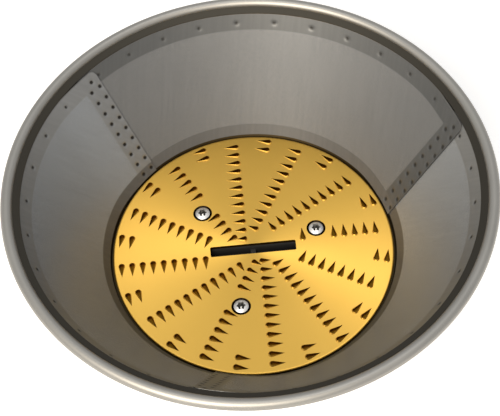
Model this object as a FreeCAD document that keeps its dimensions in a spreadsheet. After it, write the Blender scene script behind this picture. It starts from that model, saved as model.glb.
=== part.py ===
import FreeCAD, Part
import math
import os
import Sketcher

# Strainer basket of a juice extractor: a conical bowl of etched mesh panels with a rolled rim,
# and a toothed cutting disc screwed over a steel pan to a moulded drive hub.
# The axis is Z, the hub stands on z = 0, and the disc's slot lies along X. Millimetres and degrees.

doc = FreeCAD.newDocument("JuicerMeshScreen")
sheet = doc.addObject("Spreadsheet::Sheet", "Sizes")

# Driving sizes
driving = [
    # Rim and mesh wall
    ("rim_radius", 75.0),
    ("bead_radius", 1.8),
    ("collar_sheet", 0.7),
    ("collar_depth", 6.6),
    ("collar_shoulder", 0.4),
    ("rim_overhang", 5.5),
    ("wall_top_drop", 1.1),
    ("mesh_sheet", 0.4),
    ("weld_gap", 0.05),
    ("lap_width", 7.0),
    ("lap_joggle", 0.6),
    ("lap_edge_gap", 0.3),
    ("lap_corner", 2.0),
    ("seam_angle", 15.0),
    ("seam_count", 3),
    # Cutting disc
    ("bowl_depth", 36.6),
    ("disc_radius", 45.45),
    ("disc_thickness", 1.2),
    ("disc_edge_bevel", 0.35),
    ("disc_wall_lift", 0.2),
    ("disc_wall_gap", 0.8),
    ("slot_length", 27.8),
    ("slot_width", 3.8),
    ("slot_corner", 0.5),
    # Teeth of the disc
    ("tooth_pitch", 3.39),
    ("tooth_offset", 2.3),
    ("tooth_hole_radius", 0.75),
    ("tooth_tail", 3.6),
    ("tooth_round_sides", 3),
    ("tooth_lip_height", 0.65),
    ("tooth_lip_front", 0.55),
    ("tooth_lip_back", 0.3),
    ("tooth_screw_clear", 1.1),
    ("pair_inset", 2.35),
    ("pair_places", 2),
    # Screws
    ("screw_circle", 21.8),
    ("screw_shank_radius", 1.5),
    ("screw_head_radius", 2.65),
    ("screw_head_rise", 0.7),
    ("screw_crown_radius", 1.75),
    ("screw_length", 9.0),
    ("screw_sink_radius", 3.1),
    ("screw_clearance", 0.1),
    ("recess_radius", 1.35),
    ("recess_waist", 0.95),
    ("recess_depth", 1.2),
    ("recess_lobes", 6),
    # Pan
    ("pan_sheet", 0.8),
    ("pan_flange_height", 4.2),
    ("pan_window_margin", 1.2),
    # Drive hub
    ("hub_height", 18.2),
    ("hub_flange_radius", 25.5),
    ("hub_flange_sheet", 2.5),
    ("hub_barrel_radius", 15.6),
    ("socket_radius", 8.0),
    ("socket_depth", 9.0),
    ("drive_key_reach", 7.0),
    ("drive_key_width", 4.4),
    ("drive_key_depth", 4.0),
    ("drive_key_count", 3),
    ("rib_sheet", 1.8),
    ("rib_reach", 22.0),
    ("rib_foot", 6.0),
    ("rib_count", 6),
    ("boss_radius", 3.6),
    ("boss_bottom", 8.0),
    ("pocket_depth", 3.5),
    ("pocket_sides", 2),
    ("pocket_web", 1.6),
    ("pocket_web_drop", 1.4),
]

# Each row of teeth: the outermost tooth's distance from the disc's edge and the number of places
tooth_rows = [
    (5.35, 8),
    (5.16, 10),
    (4.33, 11),
    (4.16, 12),
    (4.45, 11),
    (3.75, 9),
    (2.72, 9),
    (4.34, 11),
    (3.59, 12),
    (3.18, 12),
    (2.53, 11),
    (5.73, 8),
]

# Points closer together than this are one point
same_point = 0.001

# Places worked out from the driving sizes
derived = [
    ("disc_seat", "hub_height + pan_sheet"),
    ("disc_top", "disc_seat + disc_thickness"),
    ("disc_bevel_level", "disc_top - disc_edge_bevel"),
    ("disc_bevel_radius", "disc_radius - disc_edge_bevel"),
    ("rim_level", "disc_top + bowl_depth"),
    ("wall_top", "rim_level - wall_top_drop"),
    ("wall_bottom", "disc_top + disc_wall_lift"),
    ("wall_height", "wall_top - wall_bottom"),
    ("wall_top_radius", "rim_radius - rim_overhang"),
    ("wall_bottom_radius", "disc_radius + disc_wall_gap"),
    ("wall_slope", "(wall_top_radius - wall_bottom_radius) / wall_height"),
    ("across", "sqrt(1 + wall_slope * wall_slope)"),
    ("sheet_across", "mesh_sheet * across"),
    ("lap_top_inner", "wall_top_radius - weld_gap - sheet_across"),
    ("lap_bottom_inner", "wall_bottom_radius - weld_gap - sheet_across"),
    ("lap_top_outer", "wall_top_radius - weld_gap"),
    ("lap_bottom_outer", "wall_bottom_radius - weld_gap"),
    ("wall_top_outer", "wall_top_radius + sheet_across"),
    ("wall_bottom_outer", "wall_bottom_radius + sheet_across"),
    ("bead_circle", "rim_radius - bead_radius"),
    ("seat_top_radius", "wall_top_outer + weld_gap"),
    ("seat_bottom_radius", "wall_bottom_outer + weld_gap"),
    ("bead_flat", "bead_radius * tan(22.5)"),
    ("bead_top", "rim_level + bead_radius"),
    ("bead_under", "rim_level - bead_radius"),
    ("bead_inner", "bead_circle - bead_radius"),
    ("bead_flat_inner", "bead_circle - bead_flat"),
    ("bead_flat_outer", "bead_circle + bead_flat"),
    ("bead_flat_top", "rim_level + bead_flat"),
    ("bead_flat_under", "rim_level - bead_flat"),
    ("collar_top", "rim_level - collar_shoulder"),
    ("collar_bottom", "rim_level - collar_depth"),
    ("collar_top_inner", "seat_top_radius + (collar_top - wall_top) * wall_slope"),
    ("collar_bottom_inner", "seat_top_radius - (wall_top - collar_bottom) * wall_slope"),
    ("collar_bottom_outer", "collar_bottom_inner + collar_sheet * across"),
    ("collar_heel_outer", "collar_bottom_outer + (bead_under - collar_bottom) * wall_slope"),
    ("pan_floor_radius", "seat_bottom_radius - (wall_bottom - disc_seat) * wall_slope"),
    ("pan_under_radius", "pan_floor_radius + pan_sheet * (across - wall_slope)"),
    ("pan_window_length", "slot_length + pan_window_margin"),
    ("pan_window_width", "slot_width + pan_window_margin"),
    ("pan_flange_top", "wall_bottom + pan_flange_height"),
    ("pan_flange_inner", "seat_bottom_radius + pan_flange_height * wall_slope"),
    ("pan_flange_outer", "pan_flange_inner + pan_sheet * across"),
    ("screw_head_depth", "screw_head_radius - screw_shank_radius"),
    ("screw_neck", "disc_top - screw_head_depth"),
    ("screw_crown", "disc_top + screw_head_rise"),
    ("screw_tip", "disc_top - screw_length"),
    ("screw_hole_radius", "screw_shank_radius + screw_clearance"),
    ("pan_hole_radius", "max(screw_hole_radius; screw_sink_radius - disc_thickness)"),
    ("hub_flange_under", "hub_height - hub_flange_sheet"),
    ("boss_height", "hub_flange_under - boss_bottom"),
    ("rib_root", "(hub_barrel_radius + socket_radius) / 2"),
    ("rib_angle", "seam_angle + 180 / rib_count"),
    ("screw_hole_depth", "hub_height - screw_tip + screw_clearance"),
    ("pocket_length", "slot_length / 2 - pocket_web / 2"),
    ("pocket_middle", "slot_length / 4 + pocket_web / 4"),
    ("drive_key_middle", "drive_key_reach / 2"),
]

for row, (name, number) in enumerate(driving, start=1):
    sheet.set("A%d" % row, name)
    sheet.set("B%d" % row, str(number))
    sheet.setAlias("B%d" % row, name)
for row, (name, formula) in enumerate(derived, start=1):
    sheet.set("D%d" % row, name)
    sheet.set("E%d" % row, "=" + formula)
    sheet.setAlias("E%d" % row, name)
doc.recompute()


def size(name):
    return float(sheet.get(name))


def bind(feature, path, name):
    feature.setExpression(path, "Sizes." + name)


# Sketch helpers: every corner and centre is dimensioned from the axes by a size of the sheet


def new_body(name):
    return doc.addObject("PartDesign::Body", name)


def sketch_on(body, name, role, level=None, turn=None):
    sketch = body.newObject("Sketcher::SketchObject", name)
    for plane in body.Origin.OriginFeatures:
        if plane.Role == role:
            sketch.AttachmentSupport = [(plane, "")]
    sketch.MapMode = "FlatFace"
    if turn is not None:
        upward = FreeCAD.Vector(0, 1, 0) if role == "XZ_Plane" else FreeCAD.Vector(0, 0, 1)
        sketch.AttachmentOffset = FreeCAD.Placement(FreeCAD.Vector(), FreeCAD.Rotation(upward, size(turn)))
        bind(sketch, "AttachmentOffset.Rotation.Angle", turn)
    if level is not None:
        bind(sketch, "AttachmentOffset.Base.z", level)
    return sketch


def dimension(sketch, constraint, name):
    number = sketch.addConstraint(constraint)
    bind(sketch, "Constraints[%d]" % number, name)


def draw_outline(sketch, corners):
    """A closed outline of straight sides. A corner on an axis has None for that distance."""
    values = []
    for across, up in corners:
        values.append(FreeCAD.Vector(size(across) if across else 0, size(up) if up else 0, 0))
    count = len(corners)
    for i in range(count):
        sketch.addGeometry(Part.LineSegment(values[i], values[(i + 1) % count]), False)
    for i in range(count):
        sketch.addConstraint(Sketcher.Constraint("Coincident", i, 2, (i + 1) % count, 1))
    for i, (across, up) in enumerate(corners):
        if across:
            dimension(sketch, Sketcher.Constraint("DistanceX", -1, 1, i, 1, size(across)), across)
        else:
            sketch.addConstraint(Sketcher.Constraint("PointOnObject", i, 1, -2))
        if up:
            dimension(sketch, Sketcher.Constraint("DistanceY", -1, 1, i, 1, size(up)), up)
        else:
            sketch.addConstraint(Sketcher.Constraint("PointOnObject", i, 1, -1))


def draw_circle(sketch, radius, across=None):
    """A circle on the X axis, or on the origin."""
    middle = FreeCAD.Vector(size(across) if across else 0, 0, 0)
    circle = sketch.addGeometry(Part.Circle(middle, FreeCAD.Vector(0, 0, 1), size(radius)), False)
    dimension(sketch, Sketcher.Constraint("Radius", circle, size(radius)), radius)
    if across:
        sketch.addConstraint(Sketcher.Constraint("PointOnObject", circle, 3, -1))
        dimension(sketch, Sketcher.Constraint("DistanceX", -1, 1, circle, 3, size(across)), across)
    else:
        sketch.addConstraint(Sketcher.Constraint("Coincident", circle, 3, -1, 1))


def draw_box(sketch, length, width, middle=None):
    """A rectangle across the X axis, centred on it at the given distance or on the origin."""
    half_length = size(length) / 2
    half_width = size(width) / 2
    centre = size(middle) if middle else 0
    corners = [
        FreeCAD.Vector(centre - half_length, -half_width, 0),
        FreeCAD.Vector(centre + half_length, -half_width, 0),
        FreeCAD.Vector(centre + half_length, half_width, 0),
        FreeCAD.Vector(centre - half_length, half_width, 0),
    ]
    sides = []
    for i in range(4):
        sides.append(sketch.addGeometry(Part.LineSegment(corners[i], corners[(i + 1) % 4]), False))
    for i in range(4):
        sketch.addConstraint(Sketcher.Constraint("Coincident", sides[i], 2, sides[(i + 1) % 4], 1))
    for i in (0, 2):
        sketch.addConstraint(Sketcher.Constraint("Horizontal", sides[i]))
    for i in (1, 3):
        sketch.addConstraint(Sketcher.Constraint("Vertical", sides[i]))
    dimension(sketch, Sketcher.Constraint("DistanceX", sides[0], 1, sides[0], 2, size(length)), length)
    dimension(sketch, Sketcher.Constraint("DistanceY", sides[1], 1, sides[1], 2, size(width)), width)
    point = sketch.addGeometry(Part.Point(FreeCAD.Vector(centre, 0, 0)), True)
    sketch.addConstraint(Sketcher.Constraint("Symmetric", sides[0], 1, sides[1], 2, point, 1))
    if middle:
        sketch.addConstraint(Sketcher.Constraint("PointOnObject", point, 1, -1))
        dimension(sketch, Sketcher.Constraint("DistanceX", -1, 1, point, 1, size(middle)), middle)
    else:
        sketch.addConstraint(Sketcher.Constraint("Coincident", point, 1, -1, 1))


# Feature helpers


def revolve(body, name, corners):
    sketch = sketch_on(body, name + "_outline", "XZ_Plane")
    draw_outline(sketch, corners)
    turned = body.newObject("PartDesign::Revolution", name)
    turned.Profile = sketch
    turned.ReferenceAxis = (sketch, ["V_Axis"])
    turned.Angle = 360
    sketch.Visibility = False
    return turned


def pad(body, sketch, name, length):
    raised = body.newObject("PartDesign::Pad", name)
    raised.Profile = sketch
    bind(raised, "Length", length)
    return raised


def pocket(body, sketch, name, depth, upward=False):
    cut = body.newObject("PartDesign::Pocket", name)
    cut.Profile = sketch
    cut.Reversed = upward
    bind(cut, "Length", depth)
    return cut


def repeat_round(body, feature, sketch, name, count):
    pattern = body.newObject("PartDesign::PolarPattern", name)
    pattern.Originals = [feature]
    pattern.Axis = (sketch, ["N_Axis"])
    pattern.Angle = 360
    bind(pattern, "Occurrences", count)
    body.Tip = pattern
    return pattern


def round_edges(body, feature, name, radius, chosen):
    doc.recompute()
    edges = []
    for number, edge in enumerate(feature.Shape.Edges, start=1):
        if chosen(edge):
            edges.append("Edge%d" % number)
    rounded = body.newObject("PartDesign::Fillet", name)
    rounded.Base = (feature, edges)
    bind(rounded, "Radius", radius)
    return rounded


def combine(kind, name, base, tool):
    result = doc.addObject(kind, name)
    result.Base = base
    result.Tool = tool
    result.Refine = True
    return result


def turned_by(angle):
    return FreeCAD.Rotation(FreeCAD.Vector(0, 0, 1), angle)


def face_of(corners):
    return Part.Face(Part.makePolygon(corners + corners[:1]))


seams = int(size("seam_count"))
seam_angles = [size("seam_angle") + 360.0 / seams * k for k in range(seams)]

# Rim: a rolled bead on a conical collar that the panels are welded into


def make_rim():
    rim = new_body("rim_ring")
    revolve(rim, "rim_form", [
        ("collar_bottom_inner", "collar_bottom"),
        ("collar_bottom_outer", "collar_bottom"),
        ("collar_heel_outer", "bead_under"),
        ("bead_flat_outer", "bead_under"),
        ("rim_radius", "bead_flat_under"),
        ("rim_radius", "bead_flat_top"),
        ("bead_flat_outer", "bead_top"),
        ("bead_flat_inner", "bead_top"),
        ("bead_inner", "bead_flat_top"),
        ("collar_top_inner", "collar_top"),
    ])
    return rim


# Mesh panels: conical sheets, each with its clockwise edge stepped inward to lap over its neighbour


def cone_shell(name, top_inner, bottom_inner, top_outer, bottom_outer):
    cones = []
    for side, top, bottom in (("outer", top_outer, bottom_outer), ("inner", top_inner, bottom_inner)):
        cone = doc.addObject("Part::Cone", name + "_" + side)
        bind(cone, "Radius1", bottom)
        bind(cone, "Radius2", top)
        bind(cone, "Height", "wall_height")
        bind(cone, "Placement.Base.z", "wall_bottom")
        cones.append(cone)
    return combine("Part::Cut", name, cones[0], cones[1])


def strip(name, angle, low, high):
    """A slab beside a seam's plane, between two distances from it, anticlockwise being positive."""
    reach = size("rim_radius")
    slab = doc.addObject("Part::Box", name)
    slab.Length = 2 * reach
    slab.Width = high - low
    slab.Height = size("rim_level")
    turn = turned_by(angle)
    slab.Placement = FreeCAD.Placement(turn.multVec(FreeCAD.Vector(-reach, low, 0)), turn)
    return slab


def outer_half(name, angle, low, high):
    """The half of such a slab that lies on the seam's own side of the axis, as high as the wall."""
    slab = strip(name, angle, low, high)
    slab.Length = size("rim_radius")
    bind(slab, "Height", "wall_top")
    turn = turned_by(angle)
    slab.Placement = FreeCAD.Placement(turn.multVec(FreeCAD.Vector(0, low, 0)), turn)
    return slab


def round_free_corner(slab, name, angle, low):
    """Rounds the slab's top edge on its clockwise side."""
    doc.recompute()
    back = turned_by(-angle)
    chosen = []
    for number, edge in enumerate(slab.Shape.Edges, start=1):
        middle = back.multVec(edge.CenterOfMass)
        on_side = abs(middle.y - low) < same_point
        if on_side and abs(middle.z - size("wall_top")) < same_point:
            chosen.append((number, size("lap_corner"), size("lap_corner")))
    rounded = doc.addObject("Part::Fillet", name)
    rounded.Base = slab
    rounded.Edges = chosen
    return rounded


def make_panels():
    wall = cone_shell("wall", "wall_top_radius", "wall_bottom_radius", "wall_top_outer", "wall_bottom_outer")
    lap = cone_shell("lap", "lap_top_inner", "lap_bottom_inner", "lap_top_outer", "lap_bottom_outer")
    step = cone_shell("step", "lap_top_inner", "lap_bottom_inner", "wall_top_outer", "wall_bottom_outer")
    half = size("lap_width") / 2
    far = 2 * size("rim_radius")
    panels = []
    for k, angle in enumerate(seam_angles, start=1):
        next_angle = angle + 360.0 / seams
        after = strip("after_seam_%d" % k, angle, half, far)
        before = strip("before_seam_%d" % k, next_angle, -far, half - size("lap_edge_gap"))
        field = combine("Part::Common", "field_start_%d" % k, wall, after)
        field = combine("Part::Common", "field_%d" % k, field, before)
        lap_strip = outer_half("lap_strip_%d" % k, angle, -half, half + size("lap_joggle"))
        lap_outline = round_free_corner(lap_strip, "lap_outline_%d" % k, angle, -half)
        flange = combine("Part::Common", "lap_flange_%d" % k, lap, lap_outline)
        step_strip = outer_half("step_strip_%d" % k, angle, half, half + size("lap_joggle"))
        joggle = combine("Part::Common", "joggle_%d" % k, step, step_strip)
        stepped = combine("Part::Fuse", "stepped_%d" % k, flange, joggle)
        panels.append(combine("Part::Fuse", "mesh_panel_%d" % k, field, stepped))
    return panels


# Screws: raised countersunk heads with six-lobed recesses, and the holes that they pass through


def make_screw():
    screw = new_body("screw")
    revolve(screw, "screw_form", [
        (None, "screw_tip"),
        ("screw_shank_radius", "screw_tip"),
        ("screw_shank_radius", "screw_neck"),
        ("screw_head_radius", "disc_top"),
        ("screw_crown_radius", "screw_crown"),
        (None, "screw_crown"),
    ])
    doc.recompute()
    floor = size("screw_crown") - size("recess_depth")
    lobes = int(size("recess_lobes"))
    corners = []
    for k in range(2 * lobes):
        radius = size("recess_waist") if k % 2 else size("recess_radius")
        corners.append(turned_by(180.0 / lobes * k).multVec(FreeCAD.Vector(radius, 0, floor)))
    recess = face_of(corners).extrude(FreeCAD.Vector(0, 0, size("recess_depth")))
    return screw.Shape.cut(recess)


def screw_places():
    places = []
    for angle in seam_angles:
        turn = turned_by(angle)
        places.append(FreeCAD.Placement(turn.multVec(FreeCAD.Vector(size("screw_circle"), 0, 0)), turn))
    return places


def at_screws(shape):
    copies = []
    for place in screw_places():
        copy = shape.copy()
        copy.Placement = place
        copies.append(copy)
    return Part.makeCompound(copies)


def make_screws():
    screws = doc.addObject("Part::Feature", "disc_screws")
    screws.Shape = at_screws(make_screw())
    return screws


def countersunk_hole():
    """A clearance hole through the disc with the countersink of the head."""
    hole_radius = size("screw_hole_radius")
    drill = Part.makeCylinder(hole_radius, size("disc_thickness"), FreeCAD.Vector(0, 0, size("disc_seat")))
    sink_depth = size("screw_sink_radius") - hole_radius
    sink_floor = FreeCAD.Vector(0, 0, size("disc_top") - sink_depth)
    sink = Part.makeCone(hole_radius, size("screw_sink_radius"), sink_depth, sink_floor)
    return drill.fuse(sink)


# Cutting disc: a flat disc with a slot and rows of teardrop holes with raised lips


def teardrop(radius, tail, level):
    """Corners of a tooth's outline: a round end about the origin, drawn out along Y to a sharp tail.

    The corners of every outline lie in the same directions, where the tail's sides touch the hole's round end.
    """
    lean = math.asin(size("tooth_hole_radius") / size("tooth_tail"))
    sweep = math.pi + 2 * lean
    sides = int(size("tooth_round_sides"))
    corners = [FreeCAD.Vector(0, tail, level)]
    for k in range(sides + 1):
        angle = math.pi - lean + sweep * k / sides
        corners.append(FreeCAD.Vector(radius * math.cos(angle), radius * math.sin(angle), level))
    return corners


def tooth_lip():
    """A burr with sloping flanks that the hole leaves with a sharp edge, highest at the round end."""
    foot_radius = size("tooth_hole_radius") + size("tooth_lip_front")
    foot_tail = size("tooth_tail") + size("tooth_lip_back")
    apex_height = size("tooth_lip_height") * foot_radius / size("tooth_lip_front")
    root = size("disc_thickness") / 2
    spread = 1 + root / apex_height
    foot = teardrop(foot_radius * spread, foot_tail * spread, -root)
    apex = FreeCAD.Vector(0, 0, apex_height)
    faces = [face_of(foot)]
    for k in range(len(foot)):
        faces.append(face_of([foot[k - 1], foot[k], apex]))
    return Part.makeSolid(Part.makeShell(faces))


def tooth_hole():
    depth = size("disc_thickness") + size("tooth_lip_height") + size("tooth_tail")
    outline = teardrop(size("tooth_hole_radius"), size("tooth_tail"), -size("disc_thickness"))
    return face_of(outline).extrude(FreeCAD.Vector(0, 0, depth))


def tooth_places():
    """Rows every 30 degrees, offset sideways, and pairs near the edge between them."""
    keep_off = size("screw_sink_radius") + size("tooth_screw_clear")
    screws = [place.Base for place in screw_places()]
    step = 360.0 / len(tooth_rows)
    rows = []
    for k, (inset, count) in enumerate(tooth_rows):
        rows.append((step * k, inset, count))
        rows.append((step * k + step / 2, size("pair_inset"), int(size("pair_places"))))
    places = []
    for angle, inset, count in rows:
        turn = turned_by(angle)
        for k in range(count):
            along = size("disc_radius") - inset - size("tooth_pitch") * k
            middle = FreeCAD.Vector(along, size("tooth_offset") + size("tooth_hole_radius"), 0)
            clear = min((turn.multVec(middle) - screw).Length for screw in screws)
            if clear > keep_off:
                base = turn.multVec(FreeCAD.Vector(along, size("tooth_offset"), 0))
                places.append(FreeCAD.Placement(base, turn))
    return places


def at_teeth(shape):
    copies = []
    for place in tooth_places():
        copy = shape.copy()
        copy.Placement = FreeCAD.Placement(place.Base + FreeCAD.Vector(0, 0, size("disc_top")), place.Rotation)
        copies.append(copy)
    return copies


def make_disc():
    blank = new_body("disc_blank")
    revolve(blank, "disc_plate", [
        (None, "disc_seat"),
        ("disc_radius", "disc_seat"),
        ("disc_radius", "disc_bevel_level"),
        ("disc_bevel_radius", "disc_top"),
        (None, "disc_top"),
    ])
    slot_outline = sketch_on(blank, "slot_outline", "XY_Plane", "disc_top")
    draw_box(slot_outline, "slot_length", "slot_width")
    slot = pocket(blank, slot_outline, "slot", "disc_thickness")
    round_edges(blank, slot, "slot_corners", "slot_corner", is_upright)
    doc.recompute()
    raised = blank.Shape.multiFuse(at_teeth(tooth_lip()))
    pierced = raised.cut(Part.makeCompound(at_teeth(tooth_hole())))
    disc = doc.addObject("Part::Feature", "cutting_disc")
    disc.Shape = pierced.cut(at_screws(countersunk_hole())).removeSplitter()
    return disc


def is_upright(edge):
    ends = [vertex.Point for vertex in edge.Vertexes]
    if len(ends) != 2:
        return False
    span = ends[1] - ends[0]
    return abs(span.x) < same_point and abs(span.y) < same_point


# Base pan: a flat floor under the disc with a window below the slot, and a flange outside the panels


def make_pan():
    pan = new_body("base_pan")
    revolve(pan, "pan_dish", [
        (None, "hub_height"),
        ("pan_under_radius", "hub_height"),
        ("pan_flange_outer", "pan_flange_top"),
        ("pan_flange_inner", "pan_flange_top"),
        ("pan_floor_radius", "disc_seat"),
        (None, "disc_seat"),
    ])
    window_outline = sketch_on(pan, "window_outline", "XY_Plane", "disc_seat")
    draw_box(window_outline, "pan_window_length", "pan_window_width")
    pocket(pan, window_outline, "window", "pan_sheet")
    hole_outline = sketch_on(pan, "pan_hole_outline", "XY_Plane", "disc_seat", "seam_angle")
    draw_circle(hole_outline, "pan_hole_radius", "screw_circle")
    hole = pocket(pan, hole_outline, "pan_hole", "pan_sheet")
    repeat_round(pan, hole, hole_outline, "pan_holes", "seam_count")
    return pan


# Drive hub: a moulded flange with ribs and screw bosses, and a barrel with the socket for the drive


def make_hub():
    hub = new_body("drive_hub")
    revolve(hub, "hub_form", [
        ("socket_radius", None),
        ("hub_barrel_radius", None),
        ("hub_barrel_radius", "hub_flange_under"),
        ("hub_flange_radius", "hub_flange_under"),
        ("hub_flange_radius", "hub_height"),
        (None, "hub_height"),
        (None, "socket_depth"),
        ("socket_radius", "socket_depth"),
    ])
    add_ribs(hub)
    boss_outline = sketch_on(hub, "boss_outline", "XY_Plane", "boss_bottom", "seam_angle")
    draw_circle(boss_outline, "boss_radius", "screw_circle")
    boss = pad(hub, boss_outline, "boss", "boss_height")
    repeat_round(hub, boss, boss_outline, "bosses", "seam_count")
    hole_outline = sketch_on(hub, "screw_hole_outline", "XY_Plane", "hub_height", "seam_angle")
    draw_circle(hole_outline, "screw_hole_radius", "screw_circle")
    hole = pocket(hub, hole_outline, "screw_hole", "screw_hole_depth")
    repeat_round(hub, hole, hole_outline, "hub_screw_holes", "seam_count")
    top_outline = sketch_on(hub, "pocket_outline", "XY_Plane", "hub_height")
    draw_box(top_outline, "slot_length", "slot_width")
    pocket(hub, top_outline, "slot_pocket", "pocket_web_drop")
    side_outline = sketch_on(hub, "side_pocket_outline", "XY_Plane", "hub_height")
    draw_box(side_outline, "pocket_length", "slot_width", "pocket_middle")
    side = pocket(hub, side_outline, "side_pocket", "pocket_depth")
    repeat_round(hub, side, side_outline, "side_pockets", "pocket_sides")
    key_outline = sketch_on(hub, "drive_key_outline", "XY_Plane", "socket_depth")
    draw_box(key_outline, "drive_key_reach", "drive_key_width", "drive_key_middle")
    key = pocket(hub, key_outline, "drive_key", "drive_key_depth", upward=True)
    repeat_round(hub, key, key_outline, "drive_keys", "drive_key_count")
    return hub


def add_ribs(hub):
    """Tapered ribs that brace the flange from the barrel."""
    outline = sketch_on(hub, "rib_outline", "XZ_Plane", turn="rib_angle")
    draw_outline(outline, [
        ("rib_root", "rib_foot"),
        ("hub_barrel_radius", "rib_foot"),
        ("rib_reach", "hub_flange_under"),
        ("rib_root", "hub_flange_under"),
    ])
    rib = pad(hub, outline, "rib", "rib_sheet")
    rib.Midplane = True
    ribs = repeat_round(hub, rib, outline, "ribs", "rib_count")
    ribs.Axis = (outline, ["V_Axis"])


parts = {"rim_ring": make_rim()}
for number, panel in enumerate(make_panels(), start=1):
    parts["mesh_panel_%d" % number] = panel
parts["base_pan"] = make_pan()
parts["cutting_disc"] = make_disc()
parts["disc_screws"] = make_screws()
parts["drive_hub"] = make_hub()
doc.recompute()

# Every object has to be sound before anything is written
for item in doc.Objects:
    if "Invalid" in item.State or "Error" in item.State:
        raise RuntimeError("failed: " + item.Name)
os.makedirs("parts", exist_ok=True)
for name, item in parts.items():
    item.Label = name
    if item.Shape.isNull() or not item.Shape.isValid():
        raise RuntimeError("bad shape: " + name)
    item.Shape.exportStep("parts/%s.step" % name)
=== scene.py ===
import math

import bpy
from mathutils import Matrix, Vector


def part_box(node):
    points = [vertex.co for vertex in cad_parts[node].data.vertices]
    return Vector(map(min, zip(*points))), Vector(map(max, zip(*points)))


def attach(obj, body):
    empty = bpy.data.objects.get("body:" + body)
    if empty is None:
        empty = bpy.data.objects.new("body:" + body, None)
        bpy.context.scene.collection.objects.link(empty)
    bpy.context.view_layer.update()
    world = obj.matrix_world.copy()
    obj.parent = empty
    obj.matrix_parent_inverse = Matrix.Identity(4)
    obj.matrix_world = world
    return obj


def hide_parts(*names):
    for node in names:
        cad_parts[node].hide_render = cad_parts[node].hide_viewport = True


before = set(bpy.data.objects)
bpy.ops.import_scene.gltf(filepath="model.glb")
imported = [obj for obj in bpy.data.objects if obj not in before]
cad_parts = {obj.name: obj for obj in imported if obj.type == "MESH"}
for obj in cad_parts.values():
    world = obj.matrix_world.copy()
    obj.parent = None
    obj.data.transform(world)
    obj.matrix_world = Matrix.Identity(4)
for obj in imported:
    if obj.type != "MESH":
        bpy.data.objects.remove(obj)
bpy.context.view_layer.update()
bpy.context.scene.view_settings.view_transform = "Standard"

# Camera. It looks down into the bowl from the front and is aimed at the middle of the rim's circle.
# A small pan and tilt set the rim in the frame, and a roll gives the slant that the photograph has.
mm = 0.001
bead_radius = 1.8 * mm
rim_lowest, rim_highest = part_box("rim_ring")
rim_radius = rim_highest.x
rim_level = rim_highest.z - bead_radius
photo_width_px = 500
focal_length_px = 1345.5
sensor_width_mm = 36.0
camera_distance = 5.4007 * rim_radius
camera_elevation = math.radians(54.73)
camera_turn = math.radians(-1.85)
camera_pan = math.radians(0.026)
camera_tilt = math.radians(-1.056)
camera_roll = math.radians(-3.687)

camera_lens = bpy.data.cameras.new("camera")
camera_lens.sensor_width = sensor_width_mm
camera_lens.lens = focal_length_px / photo_width_px * sensor_width_mm
camera = bpy.data.objects.new("camera", camera_lens)
bpy.context.scene.collection.objects.link(camera)
camera_offset = Vector((0, -math.cos(camera_elevation), math.sin(camera_elevation))) * camera_distance
camera.matrix_world = (
    Matrix.Translation((0, 0, rim_level))
    @ Matrix.Rotation(camera_turn, 4, "Z")
    @ Matrix.Translation(camera_offset)
    @ Matrix.Rotation(math.pi / 2 - camera_elevation + camera_tilt, 4, "X")
    @ Matrix.Rotation(camera_pan, 4, "Y")
    @ Matrix.Rotation(camera_roll, 4, "Z")
)
bpy.context.scene.camera = camera

# Floor and light. The basket stands on a white floor under a soft sky, and both show as plain white
# behind it. The main lamp stands in front, to the left, and a weak one hangs overhead.
floor_size = 6.0
floor_white = (0.9, 0.9, 0.9, 1.0)
floor_roughness = 0.9
floor_glow = 0.45
sky_light = (0.33, 0.33, 0.33, 1.0)
white_light = (1.0, 1.0, 1.0)
warm_light = (1.0, 0.9, 0.76)


def added(primitive, name, **sizes):
    """A new named primitive, made after all else is deselected."""
    bpy.ops.object.select_all(action="DESELECT")
    primitive(**sizes)
    piece = bpy.context.object
    piece.name = name
    return piece


def new_material(name):
    """An empty node material with its output and one Principled shader joined to it."""
    material = bpy.data.materials.new(name)
    material.use_nodes = True
    tree = material.node_tree
    tree.nodes.clear()
    output = tree.nodes.new("ShaderNodeOutputMaterial")
    shader = tree.nodes.new("ShaderNodeBsdfPrincipled")
    tree.links.new(shader.outputs["BSDF"], output.inputs["Surface"])
    return material, tree, shader


def feed(tree, value, socket):
    """Joins an output to a socket, or sets the socket to a plain value."""
    if isinstance(value, bpy.types.NodeSocket):
        tree.links.new(value, socket)
    else:
        socket.default_value = value


def worked_out(tree, operation, *values):
    """The result of a Math node, from outputs and plain numbers."""
    node = tree.nodes.new("ShaderNodeMath")
    node.operation = operation
    for value, socket in zip(values, node.inputs):
        feed(tree, value, socket)
    return node.outputs["Value"]


def show_background(tree, output, lighting, seen):
    """Shows one shader from the camera, off metal and through glass, and lights with the other."""
    path = tree.nodes.new("ShaderNodeLightPath").outputs
    straight = worked_out(tree, "MAXIMUM", path["Is Camera Ray"], path["Is Transmission Ray"])
    choice = tree.nodes.new("ShaderNodeMixShader")
    tree.links.new(worked_out(tree, "MAXIMUM", straight, path["Is Glossy Ray"]), choice.inputs["Fac"])
    tree.links.new(lighting, choice.inputs[1])
    tree.links.new(seen, choice.inputs[2])
    tree.links.new(choice.outputs["Shader"], output.inputs["Surface"])


floor = added(bpy.ops.mesh.primitive_plane_add, "floor", size=floor_size)
floor_paint, tree, shader = new_material("white_floor")
shader.inputs["Base Color"].default_value = floor_white
shader.inputs["Roughness"].default_value = floor_roughness
glow = tree.nodes.new("ShaderNodeEmission")
glow.inputs["Strength"].default_value = floor_glow
glowing = tree.nodes.new("ShaderNodeAddShader")
tree.links.new(shader.outputs["BSDF"], glowing.inputs[0])
tree.links.new(glow.outputs["Emission"], glowing.inputs[1])
output = next(node for node in tree.nodes if node.type == "OUTPUT_MATERIAL")
show_background(tree, output, shader.outputs["BSDF"], glowing.outputs["Shader"])
floor.data.materials.append(floor_paint)

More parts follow.
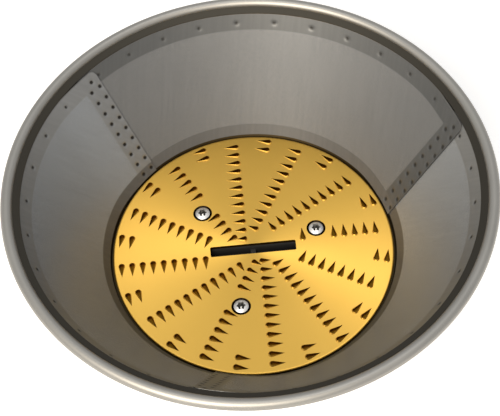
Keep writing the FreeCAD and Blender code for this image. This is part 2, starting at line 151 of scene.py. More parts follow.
world = bpy.data.worlds.new("soft_sky")
bpy.context.scene.world = world
world.use_nodes = True
tree = world.node_tree
tree.nodes.clear()
output = tree.nodes.new("ShaderNodeOutputWorld")
sky = tree.nodes.new("ShaderNodeBackground")
sky.inputs["Color"].default_value = sky_light
backdrop = tree.nodes.new("ShaderNodeBackground")
show_background(tree, output, sky.outputs["Background"], backdrop.outputs["Background"])

# Each lamp: its name, place and width in metres, power in watts and colour
for name, place, width, power, colour in (
    ("top_lamp", (0.0, 0.1, 1.6), 0.7, 4.0, white_light),
    ("front_lamp", (-0.45, -0.88, 0.95), 0.9, 25.0, warm_light),
):
    lamp_light = bpy.data.lights.new(name, "AREA")
    lamp_light.shape = "DISK"
    lamp_light.size = width
    lamp_light.energy = power
    lamp_light.color = colour
    lamp = bpy.data.objects.new(name, lamp_light)
    bpy.context.scene.collection.objects.link(lamp)
    lamp.location = place
    lamp.rotation_mode = "QUATERNION"
    lamp.rotation_quaternion = (Vector(place) - Vector((0, 0, rim_level))).to_track_quat("Z", "Y")

# Rim. A strip of stainless steel is rolled into a round bead that stiffens the bowl's mouth, and its
# lower edge is a conical collar that the mesh panels are welded into. It has a plain satin finish,
# and the groove between the bead and the panels is painted near black as painted shade.
bead_middle = rim_radius - bead_radius
bead_start = -75
bead_end = 175
bead_steps = 28
bead_inset = 0.03 * mm
wall_lowest, wall_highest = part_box("mesh_panel_1")
wall_top = wall_highest.z
wall_bottom = wall_lowest.z
wall_top_radius = 69.5 * mm
wall_bottom_radius = 46.25 * mm
wall_slope = (wall_top_radius - wall_bottom_radius) / (wall_top - wall_bottom)
slant = math.hypot(1, wall_slope)
sheet = 0.4 * mm
weld_gap = 0.05 * mm
collar_sheet = 0.7 * mm
rim_lip = 0.2 * mm
lip_rise = 0.2 * mm
rim_crease = math.radians(35)
turn_steps = 240
merge_distance = 0.002 * mm
grain_relief = 0.02 * mm
rim_steel_dark = (0.27, 0.262, 0.243, 1)
rim_steel_light = (0.33, 0.321, 0.3, 1)
# Near black painted shade for the groove under the bead
groove_painted_shade = (0.047, 0.043, 0.035, 1)


def wall_radius(height):
    """Inner radius of the mesh wall at a height."""
    return wall_bottom_radius + (height - wall_bottom) * wall_slope


def turned_piece(name, outline, steps=turn_steps):
    """Spins a closed outline of (radius, height) points round the axis."""
    circle = {"vertices": len(outline), "radius": rim_radius, "fill_type": "NOTHING"}
    piece = added(bpy.ops.mesh.primitive_circle_add, name, **circle)
    for vertex, (radius, height) in zip(piece.data.vertices, outline):
        vertex.co = (radius, 0, height)
    bpy.ops.object.mode_set(mode="EDIT")
    bpy.ops.mesh.select_all(action="SELECT")
    bpy.ops.mesh.spin(steps=steps, angle=2 * math.pi, center=(0, 0, 0), axis=(0, 0, 1))
    bpy.ops.mesh.select_all(action="SELECT")
    bpy.ops.mesh.remove_doubles(threshold=merge_distance)
    bpy.ops.mesh.delete_loose()
    bpy.ops.mesh.select_all(action="SELECT")
    bpy.ops.mesh.normals_make_consistent(inside=False)
    bpy.ops.object.mode_set(mode="OBJECT")
    return piece


def arc(middle, level, radius, start, end, count):
    """Points of an arc in an outline, by angles in degrees from the outward direction."""
    points = []
    for k in range(count + 1):
        angle = math.radians(start + (end - start) * k / count)
        points.append((middle + radius * math.cos(angle), level + radius * math.sin(angle)))
    return points


seat_offset = sheet * slant + weld_gap
collar_inner_bottom = wall_radius(rim_lowest.z) + seat_offset
collar_heel = rim_level + bead_radius * math.sin(math.radians(bead_start))
groove_lip = wall_top + weld_gap
rim_outline = [
    (collar_inner_bottom, rim_lowest.z),
    (collar_inner_bottom + collar_sheet * slant, rim_lowest.z),
    (wall_radius(collar_heel) + seat_offset + collar_sheet * slant, collar_heel),
]
rim_outline += arc(bead_middle, rim_level, bead_radius - bead_inset, bead_start, bead_end, bead_steps)
rim_outline += [
    (wall_top_radius - rim_lip, groove_lip + lip_rise),
    (wall_top_radius - rim_lip, groove_lip),
    (wall_radius(groove_lip) + seat_offset, groove_lip),
]
rim = turned_piece("rolled_rim", rim_outline)
bpy.ops.object.shade_smooth_by_angle(angle=rim_crease)
groove_faces = rim.data.attributes.new("groove", "FLOAT", "FACE")
for number, face in enumerate(rim.data.polygons):
    inside = face.center.xy.length < bead_middle - bead_radius
    groove_faces.data[number].value = float(inside and face.center.z > wall_top)


def satin_grain():
    """Fine marks of rolled and polished metal or moulded plastic: an even grain and soft patches."""
    group = bpy.data.node_groups.new("satin_grain", "ShaderNodeTree")
    for name, way, kind in (
        ("Vector", "INPUT", "NodeSocketVector"),
        ("Grain Scale", "INPUT", "NodeSocketFloat"),
        ("Cloud Scale", "INPUT", "NodeSocketFloat"),
        ("Roughness", "INPUT", "NodeSocketFloat"),
        ("Spread", "INPUT", "NodeSocketFloat"),
        ("Roughness", "OUTPUT", "NodeSocketFloat"),
        ("Height", "OUTPUT", "NodeSocketFloat"),
        ("Cloud", "OUTPUT", "NodeSocketFloat"),
    ):
        group.interface.new_socket(name, in_out=way, socket_type=kind)
    given = group.nodes.new("NodeGroupInput").outputs
    result = group.nodes.new("NodeGroupOutput").inputs
    noises = []
    for scale, detail in (("Grain Scale", 3.0), ("Cloud Scale", 4.0)):
        noise = group.nodes.new("ShaderNodeTexNoise")
        noise.inputs["Detail"].default_value = detail
        group.links.new(given["Vector"], noise.inputs["Vector"])
        group.links.new(given[scale], noise.inputs["Scale"])
        noises.append(noise.outputs["Fac"])
    grain, cloud = noises
    centred = worked_out(group, "SUBTRACT", worked_out(group, "ADD", grain, cloud), 1.0)
    spread = worked_out(group, "MULTIPLY_ADD", centred, given["Spread"], given["Roughness"])
    group.links.new(spread, result["Roughness"])
    group.links.new(grain, result["Height"])
    group.links.new(cloud, result["Cloud"])
    return group


grain_group = satin_grain()


def piece_coordinates(tree):
    """Places on the piece itself, in metres."""
    return tree.nodes.new("ShaderNodeTexCoord").outputs["Object"]


def add_grain(tree, shader, grain_scale, cloud_scale, roughness, spread, bump):
    """Gives a material the satin grain: its roughness, a slight bump, and patches for its colour."""
    grain = tree.nodes.new("ShaderNodeGroup")
    grain.node_tree = grain_group
    grain.inputs["Grain Scale"].default_value = grain_scale
    grain.inputs["Cloud Scale"].default_value = cloud_scale
    grain.inputs["Roughness"].default_value = roughness
    grain.inputs["Spread"].default_value = spread
    tree.links.new(piece_coordinates(tree), grain.inputs["Vector"])
    tree.links.new(grain.outputs["Roughness"], shader.inputs["Roughness"])
    relief = tree.nodes.new("ShaderNodeBump")
    relief.inputs["Strength"].default_value = bump
    relief.inputs["Distance"].default_value = grain_relief
    tree.links.new(grain.outputs["Height"], relief.inputs["Height"])
    tree.links.new(relief.outputs["Normal"], shader.inputs["Normal"])
    return grain.outputs["Cloud"]


def mixed(tree, share, first, second, blend="MIX"):
    """A colour between two colours, each plain or an output, by a share from 0 to 1."""
    mix = tree.nodes.new("ShaderNodeMix")
    mix.data_type = "RGBA"
    mix.blend_type = blend
    feed(tree, share, mix.inputs["Factor"])
    feed(tree, first, mix.inputs["A"])
    feed(tree, second, mix.inputs["B"])
    return mix.outputs["Result"]


def mark(tree, name):
    """The value that a piece's own attribute has on its surface."""
    node = tree.nodes.new("ShaderNodeAttribute")
    node.attribute_name = name
    return node.outputs["Fac"]


rim_steel, tree, shader = new_material("satin_rim_steel")
shader.inputs["Metallic"].default_value = 1.0
cloud = add_grain(tree, shader, grain_scale=4000, cloud_scale=60, roughness=0.48, spread=0.1, bump=0.15)
clean = mixed(tree, cloud, rim_steel_dark, rim_steel_light)
# The groove between the bead and the panels is painted near black: painted shade.
tree.links.new(mixed(tree, mark(tree, "groove"), clean, groove_painted_shade), shader.inputs["Base Color"])
rim.data.materials.append(rim_steel)
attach(rim, "root")
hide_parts("rim_ring")

# Mesh panels. Each is one thin steel sheet, etched through with fine holes and rolled to a cone, with
# plain borders. One edge is stepped inward and laps its neighbour, and rows of spot welds hold it.
panel_count = 3
panel_turn = 2 * math.pi / panel_count
first_seam = math.radians(15)
lap_half = 3.5 * mm
lap_step = 14.0 * mm
lap_edge_gap = 0.3 * mm
lap_corner = 2.0 * mm
wall_slant = (wall_top - wall_bottom) * slant
cone_share = wall_slope / slant
top_border = 5.7 * mm
bottom_border = 3.6 * mm
lap_columns = 16
step_columns = 20
field_columns = 220
panel_rows = 88
panel_crease = math.radians(40)
weld_radius = 1.1 * mm
weld_depth = 0.28 * mm
weld_columns = (-2.4 * mm, 1.25 * mm)
weld_extra = (-0.6 * mm, 3.2 * mm)
weld_first = 6.1 * mm
weld_pitch = 4.28 * mm
weld_rows = 9
border_welds = 11
border_weld_start = 0.95
border_weld_spare = 0.3
border_weld_drop = 3.2 * mm
border_weld_share = 0.75
border_welds_shared = 2
panel_marks = ("etched", "weld_dent", "painted_panel_light", "painted_edge_shade")
# Painted light: the first panel takes the darker, shaded copy of the steel colours and the other two the
# lighter, lit copy
panel_painted_lights = (0.0, 1.0, 1.0)
hole_pitch = 0.3 * mm
hole_edge = 0.38
hole_full = 0.3
weld_dark_start = 0.15
weld_dark_full = 0.6
plain_metal_share = 0.7
mesh_metal_share = 0.55
streaks_across = 900
streaks_along = 45
streak_dark = (0.91, 0.91, 0.91, 1)
streak_light = (1.09, 1.09, 1.09, 1)
plain_steel_painted_shaded = (0.12, 0.122, 0.121, 1)
plain_steel_painted_lit = (0.25, 0.256, 0.258, 1)
mesh_steel_painted_shaded = (0.265, 0.271, 0.273, 1)
mesh_steel_painted_lit = (0.42, 0.447, 0.475, 1)
edge_painted_shade = (0.14, 0.14, 0.138, 1)
weld_mark_and_shade_on_shaded_panel = (0.05, 0.049, 0.046, 1)
weld_mark_and_shade_on_lit_panel = (0.03, 0.028, 0.025, 1)
hole_black = (0.02, 0.02, 0.02, 1)
mesh_sheen = (0.3, 0.36, 0.5, 1)


def seam_weld_places():
    """Places of a seam's welds, as distance from its middle line and distance down the wall."""
    rows = [weld_first + weld_pitch * k for k in range(weld_rows)]
    return [weld_extra] + [(across, along) for across in weld_columns for along in rows]


def border_weld_places(seam):
    """Places of a panel's border welds, as angle and distance down the wall."""
    step = panel_turn / (border_welds + border_weld_spare)
    return [(seam + step * (k + border_weld_start), border_weld_drop) for k in range(border_welds)]


def weld_share(distance):
    """Depth of a weld's dent at a distance from its middle, from 1 to 0."""
    if distance >= weld_radius:
        return 0.0
    return 0.5 + 0.5 * math.cos(math.pi * distance / weld_radius)


seam_angles = [first_seam + panel_turn * k for k in range(panel_count)]
seam_welds = seam_weld_places()


def dent_at(angle, radius, down, welds_near):
    """Depth of the deepest dent at a place on the wall, by the welds of the seams and the border."""
    share = 0.0
    for seam in seam_angles:
        away = math.remainder(angle - seam, 2 * math.pi)
        across = radius * math.sin(away)
        if abs(away) > panel_turn / 4 or abs(across) > 2 * lap_half:
            continue
        for weld_across, weld_down in seam_welds:
            share = max(share, weld_share(math.hypot(across - weld_across, down - weld_down)))
    for weld_angle, weld_down in welds_near:
        if abs(down - weld_down) < weld_radius:
            along = radius * math.remainder(angle - weld_angle, 2 * math.pi)
            share = max(share, border_weld_share * weld_share(math.hypot(along, down - weld_down)))
    return share


def column_distances():
    """Distances from the seam's middle line of the columns across the lap and its step."""
    lap = [-lap_half + 2 * lap_half * k / lap_columns for k in range(lap_columns + 1)]
    step = [lap_half + lap_step * (k + 1) / step_columns for k in range(step_columns)]
    return lap + step


def lap_inset(across):
    """How far the lap stands inside the wall, at a distance from the seam's middle line."""
    full = weld_gap + sheet * slant
    if across <= lap_half:
        return full
    return full * (0.5 + 0.5 * math.cos(math.pi * min(1.0, (across - lap_half) / lap_step)))


def corner_drop(across):
    """How far the rounded corner of the lap's free edge lies below the wall's top."""
    near_edge = across + lap_half
    if near_edge >= lap_corner:
        return 0.0
    return lap_corner - math.sqrt(max(0.0, lap_corner**2 - (lap_corner - near_edge) ** 2))


def sheet_place(column, share_down, distances, seam):
    """A grid point's place on the wall: angle, radius, distance down, and how low its top edge lies."""
    across = distances[min(column, len(distances) - 1)]
    drop = corner_drop(across)
    down = drop + (wall_slant - drop) * share_down
    radius = wall_radius(wall_top - down / slant)
    if column < len(distances):
        radius -= lap_inset(across)
        angle = seam + math.asin(across / radius)
    else:
        first = seam + math.asin(distances[-1] / radius)
        last = seam + panel_turn + math.asin((lap_half - lap_edge_gap) / radius)
        angle = first + (last - first) * (column - len(distances) + 1) / field_columns
    return angle, radius, down, drop


def make_panel(name, seam, painted_light):
    """Rolls a flat grid to one sheet of the wall, dents it at the welds and marks its surface."""
    distances = column_distances()
    columns = len(distances) + field_columns
    grid = {"x_subdivisions": columns - 1, "y_subdivisions": panel_rows - 1, "size": 1}
    panel = added(bpy.ops.mesh.primitive_grid_add, name, **grid)
    mesh = panel.data
    for panel_mark in panel_marks:
        mesh.attributes.new(panel_mark, "FLOAT", "POINT")
    etched, dented, painted_lights, edge_shades = (mesh.attributes[panel_mark].data for panel_mark in panel_marks)
    next_seam = seam + panel_turn
    welds = border_weld_places(seam)
    welds += border_weld_places(seam - panel_turn)[-border_welds_shared:]
    welds += border_weld_places(next_seam)[:border_welds_shared]
    flat_places = []
    for number, vertex in enumerate(mesh.vertices):
        column = round((vertex.co.x + 0.5) * (columns - 1))
        angle, radius, down, drop = sheet_place(column, 0.5 - vertex.co.y, distances, seam)
        share = dent_at(angle, radius, down, welds)
        place = Vector((radius * math.cos(angle), radius * math.sin(angle), wall_top - down / slant))
        outward = Vector((math.cos(angle), math.sin(angle), -wall_slope)) / slant
        vertex.co = place + outward * weld_depth * share
        flat_radius = radius / cone_share
        flat_angle = (angle - (seam + next_seam) / 2) * cone_share
        flat_places.append((flat_radius * math.sin(flat_angle), flat_radius * math.cos(flat_angle)))
        from_seam = math.remainder(angle - seam, 2 * math.pi) * radius
        to_next = math.remainder(next_seam - angle, 2 * math.pi) * radius
        between_laps = from_seam > lap_half and to_next > lap_half
        etched[number].value = float(between_laps and top_border < down < wall_slant - bottom_border)
        dented[number].value = share
        painted_lights[number].value = painted_light
        # Painted shade: the lower border and the top edge are marked to be painted dark.
        edge_shades[number].value = float(down > wall_slant - bottom_border or down <= drop)
    flat_sheet = mesh.uv_layers.new(name="flat_sheet")
    for loop in mesh.loops:
        flat_sheet.data[loop.index].uv = flat_places[loop.vertex_index]
    thickness = panel.modifiers.new("thickness", "SOLIDIFY")
    thickness.thickness = sheet
    thickness.offset = 1.0
    bpy.ops.object.modifier_apply(modifier="thickness")
    bpy.ops.object.shade_smooth_by_angle(angle=panel_crease)
    return panel


panels = []
for number, (seam, painted_light) in enumerate(zip(seam_angles, panel_painted_lights), start=1):
    panels.append(make_panel("screen_panel_%d" % number, seam, painted_light))


def ranged(tree, value, start, end, low=0.0, high=1.0):
    """Runs from low to high while a value runs from start to end."""
    node = tree.nodes.new("ShaderNodeMapRange")
    tree.links.new(value, node.inputs["Value"])
    node.inputs["From Min"].default_value = start
    node.inputs["From Max"].default_value = end
    node.inputs["To Min"].default_value = low
    node.inputs["To Max"].default_value = high
    return node.outputs["Result"]


mesh_steel, tree, shader = new_material("etched_mesh_steel")
shader.inputs["Anisotropic"].default_value = 0.35
shader.inputs["Specular IOR Level"].default_value = 0.2
shader.inputs["Specular Tint"].default_value = mesh_sheen
around = tree.nodes.new("ShaderNodeTangent")
around.direction_type = "UV_MAP"
around.uv_map = "flat_sheet"
tree.links.new(around.outputs["Tangent"], shader.inputs["Tangent"])
add_grain(tree, shader, grain_scale=3000, cloud_scale=50, roughness=0.42, spread=0.12, bump=0.1)
etched = mark(tree, "etched")
painted_light = mark(tree, "painted_panel_light")
metal_share = ranged(tree, etched, 0.0, 1.0, plain_metal_share, mesh_metal_share)
tree.links.new(metal_share, shader.inputs["Metallic"])

on_sheet = tree.nodes.new("ShaderNodeUVMap")
on_sheet.uv_map = "flat_sheet"
holes = tree.nodes.new("ShaderNodeTexVoronoi")
holes.voronoi_dimensions = "2D"
holes.feature = "F1"
holes.inputs["Scale"].default_value = 1 / hole_pitch
holes.inputs["Randomness"].default_value = 0.0
tree.links.new(on_sheet.outputs["UV"], holes.inputs["Vector"])
hole = ranged(tree, holes.outputs["Distance"], hole_edge, hole_full)
stretched = tree.nodes.new("ShaderNodeMapping")
stretched.inputs["Scale"].default_value = (streaks_across, streaks_along, 1)
tree.links.new(on_sheet.outputs["UV"], stretched.inputs["Vector"])
streak = tree.nodes.new("ShaderNodeTexNoise")
streak.noise_dimensions = "2D"
streak.inputs["Scale"].default_value = 1.0
streak.inputs["Detail"].default_value = 3.0
tree.links.new(stretched.outputs["Vector"], streak.inputs["Vector"])

# Painted light: each panel's steel is the shaded or the lit copy of its colours.
plain_steel = mixed(tree, painted_light, plain_steel_painted_shaded, plain_steel_painted_lit)
field_steel = mixed(tree, painted_light, mesh_steel_painted_shaded, mesh_steel_painted_lit)
steel = mixed(tree, etched, plain_steel, field_steel)
# The lower border and the top edge are painted dark as painted shade.
steel = mixed(tree, mark(tree, "painted_edge_shade"), steel, edge_painted_shade)
streak_tint = mixed(tree, streak.outputs["Fac"], streak_dark, streak_light)
steel = mixed(tree, 1.0, steel, streak_tint, blend="MULTIPLY")
# The weld dents are painted near black: weld marks, and painted shade in the dents.
weld_mark_and_shade = ranged(tree, mark(tree, "weld_dent"), weld_dark_start, weld_dark_full)
steel = mixed(tree, weld_mark_and_shade, steel, mixed(tree, painted_light, weld_mark_and_shade_on_shaded_panel, weld_mark_and_shade_on_lit_panel))
steel = mixed(tree, worked_out(tree, "MULTIPLY", hole, etched), steel, hole_black)
tree.links.new(steel, shader.inputs["Base Color"])

for number, panel in enumerate(panels, start=1):
    panel.data.materials.append(mesh_steel)
    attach(panel, "root")
    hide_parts("mesh_panel_%d" % number)

# Base pan. It is pressed from one steel sheet, a flat floor below the disc with a flange that the
# lower borders of the panels are welded into. Its floor is painted dark brown as painted shade at
# the bottom of the tooth holes, and the narrow gap round the disc is painted near black as painted shade.
pan_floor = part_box("cutting_disc")[0].z
pan_floor_reach = 0.1 * mm
gap_middle = wall_bottom_radius - 0.7 * mm
gap_reach = 1.1 * mm
pan_steel_dark = (0.29, 0.283, 0.267, 1)
pan_steel_light = (0.35, 0.343, 0.327, 1)
floor_painted_shade = (0.19, 0.097, 0.008, 1)
gap_painted_shade = (0.05, 0.037, 0.018, 1)

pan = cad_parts["base_pan"]
pan_steel, tree, shader = new_material("satin_pan_steel")
shader.inputs["Metallic"].default_value = 1.0
cloud = add_grain(tree, shader, grain_scale=3000, cloud_scale=40, roughness=0.5, spread=0.12, bump=0.12)
on_pan = tree.nodes.new("ShaderNodeSeparateXYZ")
tree.links.new(piece_coordinates(tree), on_pan.inputs["Vector"])
height = on_pan.outputs["Z"]
level_place = tree.nodes.new("ShaderNodeVectorMath")
level_place.operation = "MULTIPLY"
level_place.inputs[1].default_value = (1, 1, 0)
tree.links.new(piece_coordinates(tree), level_place.inputs[0])
from_axis = tree.nodes.new("ShaderNodeVectorMath")
from_axis.operation = "LENGTH"
tree.links.new(level_place.outputs["Vector"], from_axis.inputs[0])
on_floor = worked_out(tree, "COMPARE", height, pan_floor, pan_floor_reach)
at_edge = worked_out(tree, "COMPARE", from_axis.outputs["Value"], gap_middle, gap_reach)
above_floor = worked_out(tree, "GREATER_THAN", height, pan_floor - pan_floor_reach)
steel = mixed(tree, cloud, pan_steel_dark, pan_steel_light)
# Painted shade: the floor under the disc is painted dark brown and the gap round its edge near black.
steel = mixed(tree, on_floor, steel, floor_painted_shade)
steel = mixed(tree, worked_out(tree, "MULTIPLY", at_edge, above_floor), steel, gap_painted_shade)
tree.links.new(steel, shader.inputs["Base Color"])
pan.data.materials.clear()
pan.data.materials.append(pan_steel)

# Cutting disc. A steel disc with a satin gold coating, its fine grain running outward. Teardrop holes
# are pierced through it from below in rows, and each leaves a raised sharp lip, highest round its
# broad end. It lies on the pan, and its edge is rounded.
disc_lowest, disc_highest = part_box("cutting_disc")
disc_radius = disc_highest.x
disc_seat = disc_lowest.z
disc_thickness = 1.2 * mm
disc_top = disc_seat + disc_thickness
disc_bevel = 0.6 * mm
bevel_start = 12
bevel_steps = 6
disc_steps = 192
disc_crease = math.radians(16)
slot_length = 27.8 * mm
slot_width = 3.8 * mm
slot_corner = 0.5 * mm
slot_corner_steps = 5
tooth_pitch = 3.39 * mm
tooth_offset = 2.3 * mm
tooth_hole = 0.75 * mm
tooth_tail = 4.0 * mm
tooth_inner = 15.0 * mm
tooth_shortest = 0.6
tooth_lip = 0.35 * mm
tooth_lip_front = 0.3 * mm
tooth_lip_back = 0.15 * mm
tooth_sides = 18
tooth_screw_clear = 1.1 * mm
pair_inset = 2.35 * mm
pair_places = 2
screw_circle = 21.8 * mm
screw_sink = 3.1 * mm
screw_hole = 1.6 * mm
screw_steps = 48
upright_limit = 0.2
level_limit = 0.99
edge_reach = 0.1 * mm
raised_reach = 0.02 * mm
lip_painted_shade_share = 0.35
gold_dark = (0.73, 0.458, 0.09, 1)
gold_light = (0.82, 0.518, 0.11, 1)
tooth_painted_shade = (0.22, 0.11, 0.01, 1)
sink_and_edge_painted_shade = (0.015, 0.01, 0.006, 1)
# Each row: the outermost tooth's distance from the disc's edge and the number of places
tooth_rows = [
    (5.35 * mm, 8),
    (5.16 * mm, 10),
    (4.33 * mm, 11),
    (4.16 * mm, 12),
    (4.45 * mm, 11),
    (3.75 * mm, 9),
    (2.72 * mm, 9),
    (4.34 * mm, 11),
    (3.59 * mm, 12),
    (3.18 * mm, 12),
    (2.53 * mm, 11),
    (5.73 * mm, 8),
]

screw_places = []
for seam in seam_angles:
    screw_places.append(Vector((screw_circle * math.cos(seam), screw_circle * math.sin(seam), 0)))


def nearest_screw(place):
    """Distance of a place from the nearest screw's axis."""
    return min((place.xy - screw_place.xy).length for screw_place in screw_places)


def tooth_places():
    """A turn and a place for every tooth: rows every 30 degrees, and pairs near the edge between them."""
    step = 2 * math.pi / len(tooth_rows)
    rows = []
    for k, (inset, count) in enumerate(tooth_rows):
        rows.append((step * k, inset, count))
        rows.append((step * (k + 0.5), pair_inset, pair_places))
    places = []
    for angle, inset, count in rows:
        turn = Matrix.Rotation(angle, 4, "Z")
        for k in range(count):
            along = disc_radius - inset - tooth_pitch * k
            middle = turn @ Vector((along, tooth_offset + tooth_hole, 0))
            if nearest_screw(middle) > screw_sink + tooth_screw_clear:
                length = min(1.0, tooth_shortest + (1 - tooth_shortest) * along / tooth_inner)
                shortened = Matrix.Diagonal((1, length, 1, 1))
                places.append(turn @ Matrix.Translation((along, tooth_offset, disc_top)) @ shortened)
    return places


def drawn_out(mesh, radius, tail, chosen):
    """Draws round rings of vertices out along Y to a sharp tail."""
    lean = math.asin(radius / tail)
    for vertex in mesh.vertices:
        if not chosen(vertex.co):
            continue
        angle = math.atan2(vertex.co.y, vertex.co.x)
        share = (angle - lean) / (math.pi - 2 * lean)
        if 0 < share < 1:
            start = Vector((radius * math.cos(lean), radius * math.sin(lean)))
            end = Vector((0, tail))
            if share > 0.5:
                start.x = -start.x
                share = 1 - share
            vertex.co.xy = start.lerp(end, share * 2)


def copies_at(piece, places, name):
    """Joins copies of a piece, one at each place, to one new piece, and takes the first away."""
    bpy.ops.object.select_all(action="DESELECT")
    copies = []
    for place in places:
        copy = bpy.data.objects.new(name, piece.data.copy())
        bpy.context.scene.collection.objects.link(copy)
        copy.data.transform(place)
        copy.select_set(True)
        copies.append(copy)
    bpy.data.objects.remove(piece)
    bpy.context.view_layer.objects.active = copies[0]
    bpy.ops.object.join()
    joined = bpy.context.object
    joined.name = name
    return joined


def boolean(piece, tool, operation):
    """Joins a tool to a piece or cuts it out, and takes the tool away."""
    bpy.ops.object.select_all(action="DESELECT")
    piece.select_set(True)
    bpy.context.view_layer.objects.active = piece
    change = piece.modifiers.new("change", "BOOLEAN")
    change.operation = operation
    change.solver = "MANIFOLD"
    change.object = tool
    bpy.ops.object.modifier_apply(modifier="change")
    bpy.data.objects.remove(tool)


disc_outline = [
    (0, disc_seat),
    (disc_radius, disc_seat),
    (disc_radius, disc_top - disc_bevel),
]
disc_outline += arc(
    disc_radius - disc_bevel, disc_top - disc_bevel, disc_bevel, bevel_start, 90, bevel_steps
)
# The extra ring of points keeps the smooth shading of the rounded edge off the flat top
disc_outline += [(disc_radius - 1.5 * disc_bevel, disc_top), (0, disc_top)]
disc = turned_piece("toothed_disc", disc_outline, steps=disc_steps)

lip_radius = tooth_hole + tooth_lip_front
lip_tail = tooth_tail + tooth_lip_back
lip_apex = tooth_lip * lip_radius / tooth_lip_front
lip_root = disc_thickness / 2
root_spread = 1 + lip_root / lip_apex
lip_cone = {
    "vertices": tooth_sides,
    "radius1": lip_radius * root_spread,
    "radius2": 0,
    "depth": lip_apex + lip_root,
}
lip = added(bpy.ops.mesh.primitive_cone_add, "tooth_lip", **lip_cone)
lip.data.transform(Matrix.Translation((0, 0, (lip_apex + lip_root) / 2 - lip_root)))
drawn_out(lip.data, lip_radius * root_spread, lip_tail * root_spread, lambda place: place.z < 0)
boolean(disc, copies_at(lip, tooth_places(), "tooth_lips"), "UNION")

hole_rod = {"vertices": tooth_sides, "radius": tooth_hole, "depth": 6 * disc_thickness}
hole_tool = added(bpy.ops.mesh.primitive_cylinder_add, "tooth_hole", **hole_rod)
drawn_out(hole_tool.data, tooth_hole, tooth_tail, lambda place: True)
boolean(disc, copies_at(hole_tool, tooth_places(), "tooth_holes"), "DIFFERENCE")

slot_tool = added(bpy.ops.mesh.primitive_cube_add, "slot_tool", size=1)
slot_tool.data.transform(Matrix.Diagonal((slot_length, slot_width, 4 * disc_thickness, 1)))
slot_tool.data.transform(Matrix.Translation((0, 0, disc_top)))
bpy.ops.object.mode_set(mode="EDIT")
bpy.ops.mesh.select_mode(type="EDGE")
bpy.ops.mesh.select_all(action="DESELECT")
bpy.ops.object.mode_set(mode="OBJECT")
for edge in slot_tool.data.edges:
    first, second = (slot_tool.data.vertices[k].co for k in edge.vertices)
    edge.select = abs(first.z - second.z) > disc_thickness
bpy.ops.object.mode_set(mode="EDIT")
bpy.ops.mesh.bevel(offset=slot_corner, segments=slot_corner_steps, affect="EDGES")
bpy.ops.object.mode_set(mode="OBJECT")
boolean(disc, slot_tool, "DIFFERENCE")

sink_outline = [
    (0, disc_seat - disc_thickness),
    (screw_hole, disc_seat - disc_thickness),
    (screw_hole, disc_top - (screw_sink - screw_hole)),
    (screw_sink + disc_thickness, disc_top + disc_thickness),
    (0, disc_top + disc_thickness),
]
at_screws = [Matrix.Translation(place) for place in screw_places]
sink_tool = turned_piece("sink_tool", sink_outline, steps=screw_steps)
boolean(disc, copies_at(sink_tool, at_screws, "sink_tools"), "DIFFERENCE")
bpy.ops.object.shade_smooth_by_angle(angle=disc_crease)

# Painted shade: upright faces such as the hole and slot walls are painted dark brown, and the raised lips
# partly so.
disc.data.attributes.new("painted_tooth_shade", "FLOAT", "FACE")
disc.data.attributes.new("painted_sink_and_edge_shade", "FLOAT", "FACE")
tooth_shade_faces = disc.data.attributes["painted_tooth_shade"].data
sink_and_edge_shade_faces = disc.data.attributes["painted_sink_and_edge_shade"].data
# Painted shade: the countersinks and the disc's upright outer edge are marked to be painted near black.
for number, face in enumerate(disc.data.polygons):
    upright = abs(face.normal.z) < upright_limit
    sunk = nearest_screw(face.center) < screw_sink and face.normal.z < level_limit
    outer = upright and face.center.xy.length > disc_radius - edge_reach
    raised = face.center.z > disc_top + raised_reach
    tooth_shade_faces[number].value = 1.0 if upright else lip_painted_shade_share * raised
    sink_and_edge_shade_faces[number].value = float(sunk or outer)

gold_coat, tree, shader = new_material("gold_coated_steel")
shader.inputs["Metallic"].default_value = 1.0
shader.inputs["Anisotropic"].default_value = 0.65
around = tree.nodes.new("ShaderNodeTangent")
around.direction_type = "RADIAL"
around.axis = "Z"
tree.links.new(around.outputs["Tangent"], shader.inputs["Tangent"])
cloud = add_grain(tree, shader, grain_scale=2500, cloud_scale=45, roughness=0.53, spread=0.06, bump=0.06)
gold = mixed(tree, cloud, gold_dark, gold_light)
# Dark brown painted shade on the upright walls and, in part, on the lips
gold = mixed(tree, mark(tree, "painted_tooth_shade"), gold, tooth_painted_shade)
# Near black painted shade in the countersinks and on the outer edge
gold = mixed(tree, mark(tree, "painted_sink_and_edge_shade"), gold, sink_and_edge_painted_shade)
tree.links.new(gold, shader.inputs["Base Color"])
disc.data.materials.clear()
disc.data.materials.append(gold_coat)
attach(disc, "root")
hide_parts("cutting_disc")

# Screws. Three raised countersunk screws with six-lobed recesses hold the disc and the pan to the hub.
# They are bright steel, and their heads stand a little proud of the disc.
screw_lowest, screw_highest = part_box("disc_screws")
head_radius = 2.35 * mm
shank_radius = 1.5 * mm
head_rise = screw_highest.z - disc_top
dome_radius = (head_radius**2 + head_rise**2) / (2 * head_rise)
dome_half = math.degrees(math.asin(head_radius / dome_radius))
dome_steps = 7
recess_radius = 1.45 * mm
recess_wave = 0.18 * mm
recess_depth = 1.2 * mm
recess_point = 0.22 * mm
lobes = 6
lobe_steps = 8
point_steps = 24
screw_crease = math.radians(30)
sloping_limits = (0.3, 0.95)
screw_steel_dark = (0.66, 0.65, 0.63, 1)
screw_steel_light = (0.74, 0.73, 0.71, 1)
screw_recess_painted_shade = (0.03, 0.03, 0.028, 1)

screw_outline = [
    (0, screw_lowest.z),
    (shank_radius, screw_lowest.z),
    (shank_radius, disc_top - (head_radius - shank_radius)),
]
screw_outline += arc(0, screw_highest.z - dome_radius, dome_radius, 90 - dome_half, 90, dome_steps)
screw = turned_piece("screw", screw_outline, steps=screw_steps)

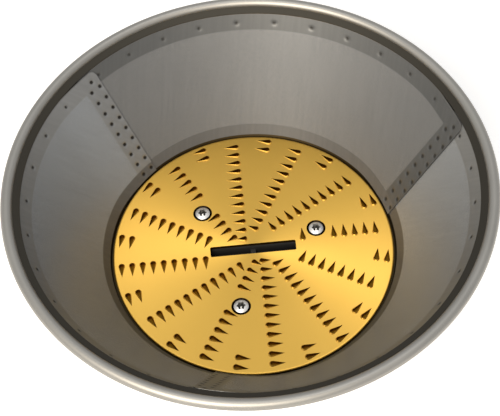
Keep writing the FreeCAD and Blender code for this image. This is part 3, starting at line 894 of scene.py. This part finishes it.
recess_rod = {"vertices": lobes * lobe_steps, "radius": recess_radius, "depth": 2 * recess_depth}
recess_tool = added(bpy.ops.mesh.primitive_cylinder_add, "recess_tool", **recess_rod)
for vertex in recess_tool.data.vertices:
    angle = math.atan2(vertex.co.y, vertex.co.x)
    lobed_radius = recess_radius - recess_wave + recess_wave * math.cos(lobes * angle)
    vertex.co.xy *= lobed_radius / recess_radius
point_cone = {"vertices": point_steps, "radius1": 2 * recess_point, "depth": 2 * recess_point}
point_tool = added(bpy.ops.mesh.primitive_cone_add, "point_tool", **point_cone)
point_tool.data.transform(Matrix.Translation((0, 0, recess_point / 2 - recess_depth)))
boolean(recess_tool, point_tool, "DIFFERENCE")
recess_tool.data.transform(Matrix.Translation((0, 0, screw_highest.z)))
boolean(screw, recess_tool, "DIFFERENCE")
screws = copies_at(screw, at_screws, "lobed_screws")
bpy.ops.object.shade_smooth_by_angle(angle=screw_crease)

# Painted shade: the lower part of each recess is marked to be painted near black, apart from the sloping
# faces of its point.
recess_faces = screws.data.attributes.new("recess", "FLOAT", "FACE")
least_slope, most_slope = sloping_limits
for number, face in enumerate(screws.data.polygons):
    in_recess = nearest_screw(face.center) < recess_radius and disc_seat < face.center.z < disc_top
    sloping = least_slope < face.normal.z < most_slope
    recess_faces.data[number].value = float(in_recess and not sloping)

screw_steel, tree, shader = new_material("bright_screw_steel")
shader.inputs["Metallic"].default_value = 1.0
cloud = add_grain(tree, shader, grain_scale=3000, cloud_scale=200, roughness=0.45, spread=0.1, bump=0.05)
polished = mixed(tree, cloud, screw_steel_dark, screw_steel_light)
# The recess is painted near black as painted shade.
tree.links.new(mixed(tree, mark(tree, "recess"), polished, screw_recess_painted_shade), shader.inputs["Base Color"])
screws.data.materials.clear()
screws.data.materials.append(screw_steel)
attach(screws, "root")
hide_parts("disc_screws")

# Drive hub. It is moulded in black plastic, with a flange under the pan, ribs, screw bosses and a
# barrel whose socket takes the drive coupling.
hub_black_dark = (0.012, 0.012, 0.012, 1)
hub_black_light = (0.022, 0.022, 0.022, 1)

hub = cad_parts["drive_hub"]
hub_plastic, tree, shader = new_material("black_hub_plastic")
cloud = add_grain(tree, shader, grain_scale=1500, cloud_scale=60, roughness=0.55, spread=0.12, bump=0.25)
tree.links.new(mixed(tree, cloud, hub_black_dark, hub_black_light), shader.inputs["Base Color"])
hub.data.materials.clear()
hub.data.materials.append(hub_plastic)
